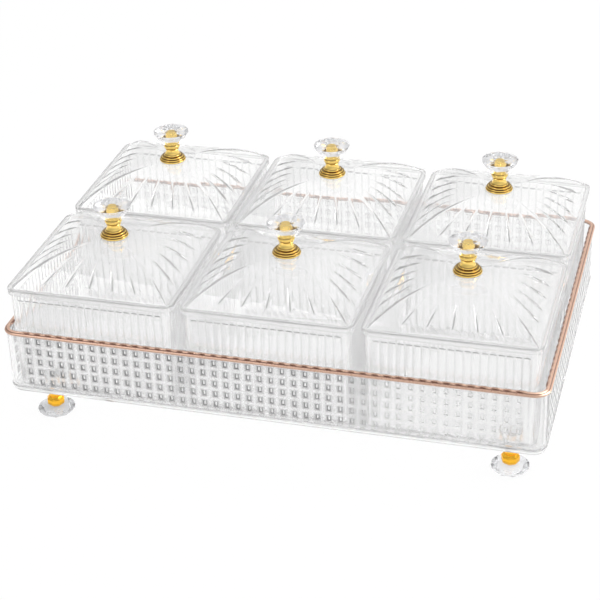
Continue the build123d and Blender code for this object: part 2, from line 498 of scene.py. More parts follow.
@dataclass(frozen=True)
class Piece:
    """A finished mesh on its way into the scene."""

    name: str
    body: str
    nodes: tuple[str, ...]
    slot: Slot
    material: bpy.types.Material
    shading: Shading = Shading.MOULDED

    def add(self, mesh: bmesh.types.BMesh, centre: Vector | None = None) -> bpy.types.Object:
        """Adds a copy of a mesh to the scene, in place of the CAD nodes that it stands for.

        Args:
            mesh: The shape, which is left as it is.
            centre: How far the shape is moved, if at all.

        Returns:
            The new object, which sits at the origin with its place in its mesh.
        """
        own = mesh.copy()
        if centre is not None:
            bmesh.ops.translate(own, verts=own.verts, vec=centre)
        bmesh.ops.recalc_face_normals(own, faces=own.faces)
        data = bpy.data.meshes.new(self.name)
        own.to_mesh(data)
        own.free()
        data.polygons.foreach_set("use_smooth", [self.shading is not Shading.FACETS] * len(data.polygons))
        if self.shading is not Shading.FACETS:
            data.set_sharp_from_angle(angle=math.radians(self.shading.value))
        if RING_PLACE in data.attributes:
            data.attributes.remove(data.attributes[RING_PLACE])
        data.materials.append(self.material)
        made = add_object(self.name, data)
        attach(made, self.body)
        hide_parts(*self.nodes)
        LOG.info("%s: %d faces, rides on %s", self.name, len(data.polygons), self.body)
        return made


def centre_of(node: str) -> Vector:
    """Gives the centre of a CAD node's footprint, at height 0."""
    low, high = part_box(node)
    return Vector(((low.x + high.x) / 2, (low.y + high.y) / 2, 0))


def cells(count: int, pitch: float, half: float, steps: int, end_steps: int = 5) -> list[float]:
    """Gives the stops of a side that has a row of equal cells in its middle.

    Args:
        count: How many cells there are.
        pitch: The width of a cell.
        half: Half the side's length.
        steps: The parts that each cell is divided into.
        end_steps: The parts that each plain end is divided into.

    Returns:
        Places from -1 to 1.
    """
    run = count * pitch / 2 / half
    middle = [-run + 2 * run * i / (count * steps) for i in range(count * steps + 1)]
    ends = [1 - (1 - run) * i / end_steps for i in range(end_steps)]
    return [-e for e in ends] + middle + ends[::-1]


@dataclass(frozen=True)
class FlutedBox:
    """An open square box with fine upright flutes all round, below a plain band."""

    material: bpy.types.Material
    wall: float = 0.0022
    floor: float = 0.0025
    corner: float = BOX_CORNER
    bottom_round: float = 0.002
    flute_pitch: float = 0.006
    flute_depth: float = 0.0009
    flute_steps: int = 6
    flute_low: float = 0.004
    ridge_share: float = 0.45
    # Painted shade along the ridges where the flutes meet.
    ridge_shade: float = 0.26
    band: float = 0.0064
    # The flutes' arched ends, and the rings that shape them, as shares of the arch's height.
    run_out: float = 0.0032
    low_ends: tuple[float, ...] = (1.0, 0.8, 0.55, 0.0)
    high_ends: tuple[float, ...] = (0.0, 0.4, 0.65, 0.85, 1.0)
    # The dark dash of painted shade over each flute: shares of the arch's height, then of the flute's width.
    dash_low: float = 0.5
    dash_middle: float = 0.7
    dash_high: float = 0.9
    dash_half: float = 0.2
    dash_end: float = 0.36
    dash_shade: float = 0.95
    lip_round: float = 0.0005
    stand_gap: float = 0.00005
    stand_width: float = 0.0020
    stand_height: float = 0.0005

    def build(self) -> None:
        """Adds the six boxes."""
        low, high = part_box(f"box_{PLACES[0]}")
        half = (high.x - low.x) / 2
        outer = Plan(half, half, self.corner)
        count = round((2 * half - 2 * self.corner) / self.flute_pitch)
        stops = cells(count, self.flute_pitch, half, self.flute_steps)
        flute_high = high.z - self.band - self.run_out
        flute_low = low.z + self.flute_low + self.run_out
        relief = self.flutes(count * self.flute_pitch / 2, flute_low, flute_high)
        shell = Shell()
        shell.start(stops, stops)
        stand = outer.inset(self.bottom_round + self.stand_width)
        under = low.z + self.stand_gap
        middle = self.bottom_round * ROUND_SHARE
        # The tints on the rings below are thin lines of painted shade at the stand, the bottom edges and the
        # lip.
        shell.ring(stand.inset(self.stand_height), under + self.stand_height)
        shell.ring(stand, under, tint=Tint.FAINT)
        shell.ring(outer.inset(self.bottom_round), under)
        shell.ring(outer.inset(middle), low.z + middle, tint=Tint.SOFT)
        shell.ring(outer, low.z + self.bottom_round)
        for share in self.low_ends:
            shell.ring(outer, flute_low - share * self.run_out, relief)
        for share in self.high_ends:
            shell.ring(outer, flute_high + share * self.run_out, relief)
        shell.ring(outer, high.z - self.lip_round)
        shell.ring(outer.inset(self.lip_round), high.z, tint=Tint.PALE)
        shell.ring(outer.inset(self.wall - self.lip_round), high.z, tint=Tint.PALE)
        inner = outer.inset(self.wall)
        floor = low.z + self.floor
        shell.ring(inner, high.z - self.lip_round)
        shell.ring(inner, floor + self.bottom_round)
        shell.ring(inner.inset(middle), floor + middle, tint=Tint.SOFT)
        shell.ring(inner.inset(self.bottom_round), floor)
        shell.fill(shell.first)
        shell.fill(shell.edges)
        for place in PLACES:
            piece = Piece(f"fluted_box_{place}", f"{place}_box", (f"box_{place}",), Slot.BOX, self.material)
            piece.add(shell.mesh, centre_of(f"box_{place}"))

    def flutes(self, straight: float, flute_low: float, flute_high: float) -> Relief:
        """Gives the relief of the flutes, with arched ends and a dark dash of painted shade over each.

        Args:
            straight: Half the width of the row of flutes.
            flute_low: Where the flutes' lower ends start.
            flute_high: Where their upper ends start.

        Returns:
            A relief for the rings of the box's outside.
        """

        def relief(point: Vector, outward: Vector, height: float) -> tuple[float, float]:
            """Gives one point's depth and tint.

            Args:
                point: The point on the outline.
                outward: The direction that faces outwards there.
                height: The point's height.

            Returns:
                The depth and the edge tint.
            """
            along = point.x if abs(outward.y) > abs(outward.x) else point.y
            if abs(along) > straight + TINY:
                return 0.0, 0.0
            share = (along + straight) / self.flute_pitch % 1.0 - 0.5
            end = max(height - flute_high, flute_low - height, 0.0) / self.run_out
            depth = max(0.0, 1 - 4 * share * share - end * end)
            # Painted shade: grey ridges, and the dark dash over each flute's upper end.
            tint = self.ridge_shade if abs(share) > self.ridge_share and end < 1 else 0.0
            if height > flute_high and self.dash_low < end < self.dash_high:
                side = Tint.FIRM if abs(share) < self.dash_end else Tint.NONE
                arch = Tint.FULL if abs(share) < self.dash_half else side
                tint = arch * (Tint.DEEP if end < self.dash_middle else self.dash_shade)
            return self.flute_depth * depth, tint

        return relief


@dataclass(frozen=True)
class PetalLid:
    """A lift-off lid: a skirt, a flat ledge and a low dome of four curved faces with radial cuts."""

    material: bpy.types.Material
    wall: float = 0.0021
    skirt_wall: float = 0.0016
    skirt_depth: float = 0.0024
    seat_land: float = 0.0019
    clearance: float = 0.0008
    flat_half: float = 0.014
    ledge_height: float = 0.0021
    edge_round: float = 0.0004
    dome_foot_half: float = 0.06198
    seat_gap: float = 0.0001
    # Where the petal cuts run down a dome face, and half their width, as shares of half the face.
    petal_lines: tuple[float, ...] = (-0.625, -0.315, 0.0, 0.315, 0.625)
    petal_half_width: float = 0.030
    petal_depth: float = 0.0009
    # Distances from the lid's middle: where a cut starts, is deepest and ends.
    petal_top: float = 0.030
    petal_middle: float = 0.050
    petal_bottom: float = 0.0575
    petal_steps: int = 3
    petal_shallow: float = 0.15
    petal_delay: float = 0.003
    dash_run: float = 0.006
    dash_taper: float = 2.2
    stop_spacing: float = 0.035
    dome_rings: int = 26
    cavity_rings: int = 10
    hip_round: float = 0.0006

    def stops(self) -> list[float]:
        """Gives the stops along a side.

        Returns:
            Places from -1 to 1, some across each petal line and more between them.
        """
        found = {-1.0, 1.0}
        for line in self.petal_lines:
            steps = range(-self.petal_steps, self.petal_steps + 1)
            found |= {line + self.petal_half_width * k / self.petal_steps for k in steps}
        ordered = sorted(found)
        for low, high in zip(ordered, ordered[1:]):
            parts = max(1, round((high - low) / self.stop_spacing))
            found |= {low + (high - low) * i / parts for i in range(parts)}
        return sorted(x for x in found if -1.0 <= x <= 1.0)

    def dome_height(self, across: float, foot_half: float, foot: float, top: float) -> float:
        """Gives the height of a dome face at a distance from the middle.

        Args:
            across: The distance from the lid's middle to the face.
            foot_half: Half the side of the dome's foot.
            foot: The foot's height.
            top: The flat top's height.

        Returns:
            The height on an arc that leaves the flat top without a step.
        """
        run, rise = foot_half - self.flat_half, top - foot
        radius = (run * run + rise * rise) / (2 * rise)
        reach = max(0.0, across - self.flat_half)
        return top - radius + math.sqrt(radius * radius - reach * reach)

    def petal(self, along: float, across: float) -> tuple[float, float]:
        """Gives a petal cut's depth, and the dash of painted shade at its lower end, on a dome face.

        Args:
            along: The place along the face, from -1 to 1.
            across: The distance from the lid's middle to the face.

        Returns:
            The depth below the dome, and the edge tint.
        """
        gap = min(abs(along - line) for line in self.petal_lines) / self.petal_half_width
        before = across < self.petal_middle
        reach = self.petal_middle - self.petal_top if before else self.petal_bottom - self.petal_middle
        end = (across - self.petal_middle) / reach
        depth = 1 - gap * gap - end * end
        if depth <= 0:
            return 0.0, 0.0
        step = smooth_step(across, self.petal_top + self.petal_delay, self.petal_middle)
        growth = self.petal_shallow + (1 - self.petal_shallow) * step
        # A dash of painted shade darkens the lower end of each cut.
        dash = smooth_step(across, self.petal_middle - self.dash_run, self.petal_middle)
        return self.petal_depth * depth * growth, dash * max(0.0, 1 - self.dash_taper * gap)

    def build(self) -> None:
        """Adds the six lids."""
        low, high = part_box(f"lid_{PLACES[0]}")
        half = (high.x - low.x) / 2
        seat = low.z + self.skirt_depth + self.seat_gap
        ledge = low.z + self.skirt_depth + self.ledge_height
        recess_half = half - self.skirt_wall
        box_half = recess_half - self.clearance
        outer = Plan(half, half, BOX_CORNER + self.clearance + self.skirt_wall)
        stops = self.stops()
        shell = Shell()
        shell.start(stops, stops)
        for step in range(self.dome_rings + 1):
            share = step / self.dome_rings
            across = self.flat_half + (self.dome_foot_half - self.flat_half) * share
            self.dome_ring(shell, across, self.dome_height(across, self.dome_foot_half, ledge, high.z))
        edge = self.edge_round
        # Inset, height and tint of the rings round the ledge's rim, the skirt's edge and its inside; the
        # tints are lines of painted shade.
        skirt = (
            (edge * 2.2, ledge, Tint.LIGHT),
            (edge, ledge - edge * 0.1, Tint.NONE),
            (edge * 0.3, ledge - edge * 0.4, Tint.STRONG),
            (0.0, ledge - edge, Tint.NONE),
            (0.0, low.z + edge * 0.5, Tint.FAINT),
            (edge * 0.5, low.z, Tint.DEEP),
            (self.skirt_wall, low.z, Tint.FAINT),
            (self.skirt_wall, seat, Tint.SOFT),
        )
        shell.rings(outer, skirt)
        cavity_half = box_half - self.seat_land
        # A faint line of painted shade round the seat.
        shell.ring(Plan(cavity_half, cavity_half), seat, tint=Tint.SOFT)
        for step in range(self.cavity_rings):
            share = 1 - (step + 1) / self.cavity_rings
            across = self.flat_half + (cavity_half - self.flat_half) * share
            height = self.dome_height(across, cavity_half, seat, high.z - self.wall)
            shell.ring(Plan(across, across, self.hip_round), height)
        shell.fill(shell.first)
        shell.fill(shell.edges)
        for place in PLACES:
            piece = Piece(f"petal_lid_{place}", f"{place}_lid", (f"lid_{place}",), Slot.LID, self.material)
            piece.add(shell.mesh, centre_of(f"lid_{place}"))

    def dome_ring(self, shell: Shell, across: float, height: float) -> None:
        """Grows one square ring of the dome and sinks its petal cuts.

        Args:
            shell: The lid's shell.
            across: Half the ring's side.
            height: The ring's height outside the cuts.
        """
        shell.ring(Plan(across, across, self.hip_round), height)
        for vert in {v for e in shell.edges for v in e.verts}:
            x, y = vert[shell.ring_place].x, vert[shell.ring_place].y
            depth, tint = self.petal(y if abs(x) > abs(y) else x, across)
            vert.co.z -= depth
            # The tint is the petal's dash of painted shade.
            vert[shell.tint] = tint


@dataclass(frozen=True)
class StuddedTray:
    """The open tray: small square studs outside, upright flutes inside and a bead round its foot."""

    material: bpy.types.Material
    rim_material: bpy.types.Material
    wall: float = 0.0026
    floor: float = 0.003
    corner: float = 0.008
    bottom_round: float = 0.002
    stud_pitch: float = 0.00866
    stud_columns: int = 44
    stud_rows: int = 5
    stud_row_pitch: float = 0.00887
    stud_row_low: float = 0.0105
    stud_width: float = 0.0031
    stud_side: float = 0.0003
    stud_border: float = 0.0005
    stud_stretch: float = 1.45
    stud_height: float = 0.0009
    # At the front the light washes the studs out, more and more between these two places in X.
    stud_fade: float = 0.70
    fade_start: float = 0.04
    fade_end: float = 0.12
    # At the back it washes them all out alike.
    far_fade: float = 0.78
    # A stud whose Y is less than this share of its X is on a short side.
    side_slope: float = 0.6
    # How far a cell's width may be from the pitch.
    cell_tolerance: float = 0.0002
    bead_low: float = 0.0028
    bead_height: float = 0.0018
    bead_depth: float = 0.0005
    flute_depth: float = 0.0005
    flute_steps: int = 6
    flute_groove: float = 0.1
    rim_cap: float = 0.0012
    rim_overhang: float = 0.0015
    side_bead: float = 0.0021
    groove_rise: float = 0.0004
    tooth_depth: float = 0.0007
    tooth_half: float = 0.3
    # The painted shade on the front of the rim's bead.
    front_shade: float = 0.35
    rim_points: int = 6
    rim_gap: float = 0.00005

    def build(self) -> None:
        """Adds the tray and its rim band."""
        low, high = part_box("tray")
        plan = Plan(high.x, high.y, self.corner + self.wall)
        self.build_tray(plan, low.z, high.z)
        self.build_rim(plan, high.z)

    def columns_across(self, half: float) -> int:
        """Gives the number of stud columns on a side, with about the same plain ends as the long one."""
        return int((2 * half - 2 * (self.corner + self.wall)) // self.stud_pitch)

    def stops(self, plan: Plan, steps: int) -> tuple[list[float], list[float]]:
        """Gives the stops along the long and the short sides.

        Args:
            plan: The wall's outer outline.
            steps: The parts that each stud's cell is divided into.

        Returns:
            The stops of the sides along X, and those of the sides along Y.
        """
        across = self.columns_across(plan.half_y)
        long_stops = cells(self.stud_columns, self.stud_pitch, plan.half_x, steps)
        return long_stops, cells(across, self.stud_pitch, plan.half_y, steps)

    def build_tray(self, plan: Plan, bottom: float, top: float) -> None:
        """Adds the tray.

        Args:
            plan: The wall's outer outline.
            bottom: The height of the tray's underside.
            top: The height of the wall's top.
        """
        shell = Shell()
        shell.start(*self.stops(plan, 1))
        middle = self.bottom_round * ROUND_SHARE
        low, out = bottom + self.bead_low, self.bead_depth
        # Inset, height and tint of the rings round the tray's bottom edge and the bead over it; the tint is
        # painted shade, or white haze where it is below 0.
        foot = (
            (self.bottom_round, bottom, Tint.LIGHT),
            (middle, bottom + middle, Tint.FIRM),
            (0.0, bottom + self.bottom_round, Tint.HAZE),
            (0.0, low, Tint.HAZE),
            (-out, low + out, Tint.HAZE),
            (-out, low + self.bead_height - out, Tint.THIN_HAZE),
            (0.0, low + self.bead_height, Tint.HALF),
        )
        shell.rings(plan, foot)
        first = bottom + self.stud_row_low - self.stud_row_pitch / 2
        shell.ring(plan, first)
        wall_faces: list[Any] = []
        for row in range(self.stud_rows):
            wall_faces += shell.ring(plan, first + (row + 1) * self.stud_row_pitch)
        shell.ring(plan, top)
        outer_top = list(shell.edges)
        shell.fill(shell.first)

        inner = plan.inset(self.wall)
        floor = bottom + self.floor
        shell.start(*self.stops(plan, self.flute_steps))
        flutes = self.flutes(inner, self.columns_across(plan.half_y))
        shell.ring(inner, top, flutes)
        inner_top = list(shell.edges)
        shell.ring(inner, floor + self.bottom_round * 2, flutes)
        # A line of painted shade at the floor's rounded edge.
        shell.ring(inner, floor + self.bottom_round, tint=Tint.LIGHT)
        shell.ring(inner.inset(middle), floor + middle)
        shell.ring(inner.inset(self.bottom_round), floor)
        shell.fill(shell.edges)
        bmesh.ops.bridge_loops(shell.mesh, edges=outer_top + inner_top)
        self.raise_studs(shell, wall_faces)
        Piece("studded_tray", TRAY_BODY, ("tray",), Slot.TRAY, self.material).add(shell.mesh)

    def cell_place(
        self, point: Vector, outward: Vector, across: int, scale: tuple[float, float]
    ) -> float | None:
        """Finds where in its stud's cell a point of the wall lies.

        Args:
            point: The point.
            outward: The direction that faces outwards there.
            across: The number of cells on the short sides.
            scale: How much smaller a cell is there than outside, along X and along Y.

        Returns:
            A share of the cell from -0.5 to 0.5, or nothing on the plain ends.
        """
        facing_y = abs(outward.y) > abs(outward.x)
        along = point.x if facing_y else point.y
        size = scale[0] if facing_y else scale[1]
        run = (self.stud_columns if facing_y else across) * self.stud_pitch / 2 * size
        if abs(along) > run + TINY:
            return None
        return (along + run) / (self.stud_pitch * size) % 1.0 - 0.5

    def flutes(self, plan: Plan, across: int) -> Relief:
        """Gives the relief of the upright flutes inside the tray.

        Args:
            plan: The inner wall's outline.
            across: The number of flutes on the short sides.

        Returns:
            A relief in which each flute bulges into the tray.
        """
        scale = plan.half_x / (plan.half_x + self.wall), plan.half_y / (plan.half_y + self.wall)

        def relief(point: Vector, outward: Vector, height: float) -> tuple[float, float]:
            """Gives one point's depth and tint.

            Args:
                point: The point on the outline.
                outward: The direction that faces outwards there.
                height: The point's height, which changes nothing.

            Returns:
                The depth and the edge tint.
            """
            share = self.cell_place(point, outward, across, scale)
            if share is None:
                return 0.0, 0.0
            bulge = 1 - 4 * share * share
            # Faint painted shade along the grooves between the flutes.
            return self.flute_depth * bulge, Tint.FAINT if bulge < self.flute_groove else Tint.NONE

        return relief

    def teeth(self, across: int, reach: float) -> Relief:
        """Gives the relief of the rim's groove and inner edge, which have a tooth at every stud.

        Args:
            across: The number of studs on the short sides.
            reach: How far a tooth reaches into the tray.

        Returns:
            A relief that pushes the teeth inwards and darkens them with painted shade. Without reach they
            show only at the front, where the photograph has dashes in the groove.
        """

        def relief(point: Vector, outward: Vector, height: float) -> tuple[float, float]:
            """Gives one point's depth and tint.

            Args:
                point: The point on the outline.
                outward: The direction that faces outwards there.
                height: The point's height, which changes nothing.

            Returns:
                The depth and the edge tint.
            """
            share = self.cell_place(point, outward, across, (1.0, 1.0))
            tooth = share is not None and abs(share) < self.tooth_half
            shown = tooth and (outward.y < FRONT_FACING or reach > 0)
            return (reach, Tint.STRONG) if shown else (0.0, Tint.FAINT)

        return relief

    def bead_shade(self, tint: float) -> Relief:
        """Gives a relief without depth, in which painted shade darkens the front of the rim's bead a little.

        Args:
            tint: The tint on the other three sides.

        Returns:
            A relief for one ring of the bead.
        """

        def relief(point: Vector, outward: Vector, height: float) -> tuple[float, float]:
            """Gives one point's depth and tint."""
            return 0.0, max(tint, self.front_shade) if outward.y < FRONT_FACING else tint

        return relief

    def raise_studs(self, shell: Shell, faces: list[Any]) -> None:
        """Raises a square stud from the middle of each cell of the wall.

        Args:
            shell: The tray's shell.
            faces: The wall's faces, cells and plain ends alike.
        """
        studs = [f for f in faces if abs(self.width_of(f) - self.stud_pitch) < self.cell_tolerance]
        margin = (self.stud_pitch - self.stud_width) / 2
        # Each step's inset, rise and tint of painted shade: the stud's foot, its face, the face's border and
        # its dish.
        steps = (
            (margin, 0.0, Tint.HALF),
            (self.stud_side, self.stud_height, Tint.FULL),
            (self.stud_border, 0.0, Tint.DARK),
            (self.stud_side / 2, -self.stud_height / 4, Tint.FAINT),
        )
        for inset, rise, tint in steps:
            bmesh.ops.inset_individual(
                shell.mesh, faces=studs, thickness=inset, depth=rise, use_even_offset=True
            )
            for face in studs:
                middle = face.calc_center_median()
                fade = self.fade(middle)
                for vert in face.verts:
                    vert[shell.tint] = tint * (1 - fade)
                    if inset == margin:
                        vert.co.z = middle.z + (vert.co.z - middle.z) * self.stud_stretch

    def fade(self, middle: Vector) -> float:
        """Gives how far the light washes out a stud's edges.

        Args:
            middle: The stud's middle.

        Returns:
            A share: large on the back wall, growing to the right on the front wall, else 0.
        """
        if abs(middle.y) <= abs(middle.x) * self.side_slope:
            return 0.0
        if middle.y > 0:
            return self.far_fade
        return self.stud_fade * smooth_step(middle.x, self.fade_start, self.fade_end)

    @staticmethod
    def width_of(face: Any) -> float:
        """Gives the length of a wall face's level edges."""
        return max(math.hypot(*(e.verts[0].co - e.verts[1].co).xy) for e in face.edges)

    def build_rim(self, plan: Plan, top: float) -> None:
        """Adds the rose-gold band over the wall's top edge.

        Args:
            plan: The wall's outer outline.
            top: The height of the wall's top.
        """
        across = self.columns_across(plan.half_y)
        points, half_points = self.rim_points, self.rim_points // 2
        shell = Shell()
        shell.start(*self.stops(plan, self.flute_steps))
        # Painted shade lines at the bead's lower and upper edges, and darker on its front.
        shell.ring(plan, top - self.side_bead, tint=Tint.FULL)
        for i in range(points + 1):
            turn = math.pi * i / points
            out = self.rim_overhang * math.sin(turn)
            height = top - self.side_bead * (1 + math.cos(turn)) / 2 + self.groove_rise * i / points
            shade = self.bead_shade(Tint.FULL if i in (0, points) else Tint.NONE)
            shell.ring(plan.inset(-out), height, shade)
        for i in range(1, points + 1):
            turn = math.pi * i / points
            rise = self.groove_rise + (self.rim_cap - self.groove_rise) * math.sin(turn)
            relief = self.teeth(across, self.tooth_depth if i > half_points else 0.0)
            cap = plan.inset(self.wall / 2 * (1 - math.cos(turn)))
            shell.ring(cap, top + rise, relief if i != half_points else None)
        lip = plan.inset(self.wall)
        shell.ring(lip, top, self.flutes(lip, across))
        shell.ring(plan.inset(self.rim_gap), top)
        bmesh.ops.bridge_loops(shell.mesh, edges=shell.first + shell.edges)
        Piece("foil_rim_band", TRAY_BODY, ("rim_band",), Slot.RIM, self.rim_material).add(shell.mesh)


def gem(sections: Sequence[tuple[float, float, int, float]], flat_angle: float = 1.0) -> bmesh.types.BMesh:
    """Cuts a crystal: flat facets between rings of points.

    Args:
        sections: For each ring its height, its radius, its number of points and its turn in steps.
        flat_angle: Faces that meet at fewer degrees than this become one facet.

    Returns:
        A closed mesh about the Z axis.
    """
    mesh = bmesh.new()
    for height, radius, count, turn in sections:
        place = Matrix.Translation((0, 0, height)) @ Matrix.Rotation(turn * math.tau / count, 4, "Z")
        bmesh.ops.create_circle(mesh, segments=count, radius=radius, matrix=place)
    bmesh.ops.convex_hull(mesh, input=mesh.verts)
    loose = [e for e in mesh.edges if not e.link_faces]
    bmesh.ops.delete(mesh, geom=loose, context="EDGES")
    bmesh.ops.dissolve_limit(mesh, angle_limit=math.radians(flat_angle), verts=mesh.verts, edges=mesh.edges)
    return mesh


def turned(outline: Sequence[tuple[float, float, float]], steps: int = 48) -> bmesh.types.BMesh:
    """Turns an outline about the Z axis.

    Args:
        outline: Radius, height and edge tint of each point.
        steps: The number of faces round the axis.

    Returns:
        A closed mesh about the Z axis.
    """
    mesh = bmesh.new()
    tint = mesh.verts.layers.float.new(EDGE_SHADE_AND_HAZE)
    verts = []
    for radius, height, shade in outline:
        vert = mesh.verts.new((radius, 0, height))
        vert[tint] = shade
        verts.append(vert)
    edges = [mesh.edges.new(pair) for pair in zip(verts, verts[1:])]
    bmesh.ops.spin(
        mesh, geom=verts + edges, cent=(0, 0, 0), axis=(0, 0, 1), angle=math.tau, steps=steps, use_merge=True
    )
    bmesh.ops.remove_doubles(mesh, verts=mesh.verts, dist=TINY)
    return mesh


def bead(
    radius: float, low: float, high: float, bulge: float, points: int = 5
) -> list[tuple[float, float, float]]:
    """Gives the outline of one round bead, with painted shade at its ends where it meets its neighbours.

    Args:
        radius: The radius at the bead's two ends.
        low: The height of its lower end.
        high: The height of its upper end.
        bulge: How far the bead stands out in its middle.
        points: The number of points along it.

    Returns:
        Radius, height and edge tint of each point.
    """
    found = []
    for i in range(points):
        share = i / (points - 1)
        tint = Tint.GROOVE if i in (0, points - 1) else Tint.NONE
        found.append((radius + bulge * math.sin(math.pi * share), low + (high - low) * share, tint))
    return found


@dataclass(frozen=True)
class Knob:
    """A ringed gold collar that carries a brilliant-cut crystal."""

    gold: bpy.types.Material
    crystal: bpy.types.Material
    rings: int = 4
    base_radius: float = 0.0104
    ring_height: float = 0.0014
    ring_step: float = 0.0013
    ring_bulge: float = 0.00045
    neck_radius: float = 0.0047
    neck_top: float = 0.0102
    cup_radius: float = 0.0062
    cup_top: float = 0.0142
    spigot_radius: float = 0.0042
    spigot_length: float = 0.0056
    # Shares of the spigot's radius, each with a share of its length.
    spigot_taper: tuple[tuple[float, float], ...] = ((0.9, 0.4), (0.8, 1.0))
    waist_steps: int = 6
    detail: float = 0.0004
    detail_bulge: float = 0.0007
    cup_points: int = 7
    sides: int = 8
    seat_radius: float = 0.0060
    seat_sink: float = 0.0004
    girdle_radius: float = 0.0143
    table_radius: float = 0.0092
    pavilion: float = 0.0104
    girdle: float = 0.0010
    crown: float = 0.0020
    # Where the facets meet below and above the girdle, as shares of the height and of the width.
    lower_facets: tuple[float, float] = (0.52, 0.60)
    upper_facets: tuple[float, float] = (0.62, 0.46)

    def collar(self) -> bmesh.types.BMesh:
        """Turns the collar: beaded rings, a waist, a ringed cup and a spigot.

        Returns:
            A mesh about the Z axis, with its foot at height 0.
        """
        outline = [(0.0, 0.0, 0.0)]
        for ring in range(self.rings):
            # Each ring is set back by more than the one below it.
            radius = self.base_radius - self.ring_step * ring * (ring + 1) / 4
            outline += bead(radius, ring * self.ring_height, (ring + 1) * self.ring_height, self.ring_bulge)
        rings_top = self.rings * self.ring_height
        # Painted shade in the crease between the rings and the waist.
        outline.append((self.cup_radius, rings_top, Tint.FIRM))
        for i in range(1, self.waist_steps):
            share = i / self.waist_steps
            waist = (self.cup_radius - self.neck_radius) * (1 - math.sin(math.pi * share / 2))
            height = rings_top + (self.neck_top - rings_top) * share
            outline.append((self.neck_radius + waist, height, Tint.NONE))
        unit, bulge = self.detail, self.detail_bulge
        outline += bead(self.neck_radius + unit / 2, self.neck_top - 2 * unit, self.neck_top + unit, bulge)
        cup_low, cup_high = self.neck_top + 2 * unit, self.cup_top - unit
        outline += bead(self.cup_radius - unit, cup_low, cup_high, bulge, self.cup_points)
        # Painted shade under the cup's lip and round the spigot's foot.
        outline.append((self.cup_radius - 2 * unit, self.cup_top, Tint.DEEP))
        outline.append((self.spigot_radius, self.cup_top, Tint.STRONG))
        for width, length in self.spigot_taper:
            height = self.cup_top + self.spigot_length * length
            outline.append((self.spigot_radius * width, height, Tint.NONE))
        outline.append((0.0, self.cup_top + self.spigot_length, Tint.NONE))
        return turned(outline)

    def stone(self) -> bmesh.types.BMesh:
        """Cuts the crystal: table, star and kite facets, a thin girdle and long pavilion facets.

        Returns:
            A mesh about the Z axis, in place on the collar.
        """
        seat, sides, widest = self.cup_top, self.sides, self.girdle_radius
        girdle_low = seat + self.pavilion
        girdle_high = girdle_low + self.girdle
        low_height, low_width = self.lower_facets
        high_height, high_width = self.upper_facets
        low_radius = self.seat_radius + (widest - self.seat_radius) * low_width
        high_radius = self.table_radius + (widest - self.table_radius) * high_width
        return gem(
            (
                (seat - self.seat_sink, self.seat_radius, sides, 0.5),
                (seat + self.pavilion * low_height, low_radius, sides, 0.0),
                (girdle_low, widest, 2 * sides, 0.5),
                (girdle_high, widest, 2 * sides, 0.5),
                (girdle_high + self.crown * high_height, high_radius, sides, 0.5),
                (girdle_high + self.crown, self.table_radius, sides, 0.0),
            )
        )

    def build(self) -> None:
        """Adds a collar and a crystal on each lid."""
        collar, stone = self.collar(), self.stone()
        for place in PLACES:
            foot = centre_of(f"knob_collar_{place}")
            foot.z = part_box(f"knob_collar_{place}")[0].z
            body = f"{place}_lid"
            nodes = (f"knob_collar_{place}",)
            metal = Piece(f"gold_collar_{place}", body, nodes, Slot.KNOB_GOLD, self.gold, Shading.TURNED)
            metal.add(collar, foot)
            nodes = (f"knob_crystal_{place}",)
            glass = Piece(f"knob_stone_{place}", body, nodes, Slot.CRYSTAL, self.crystal, Shading.FACETS)
            glass.add(stone, foot)


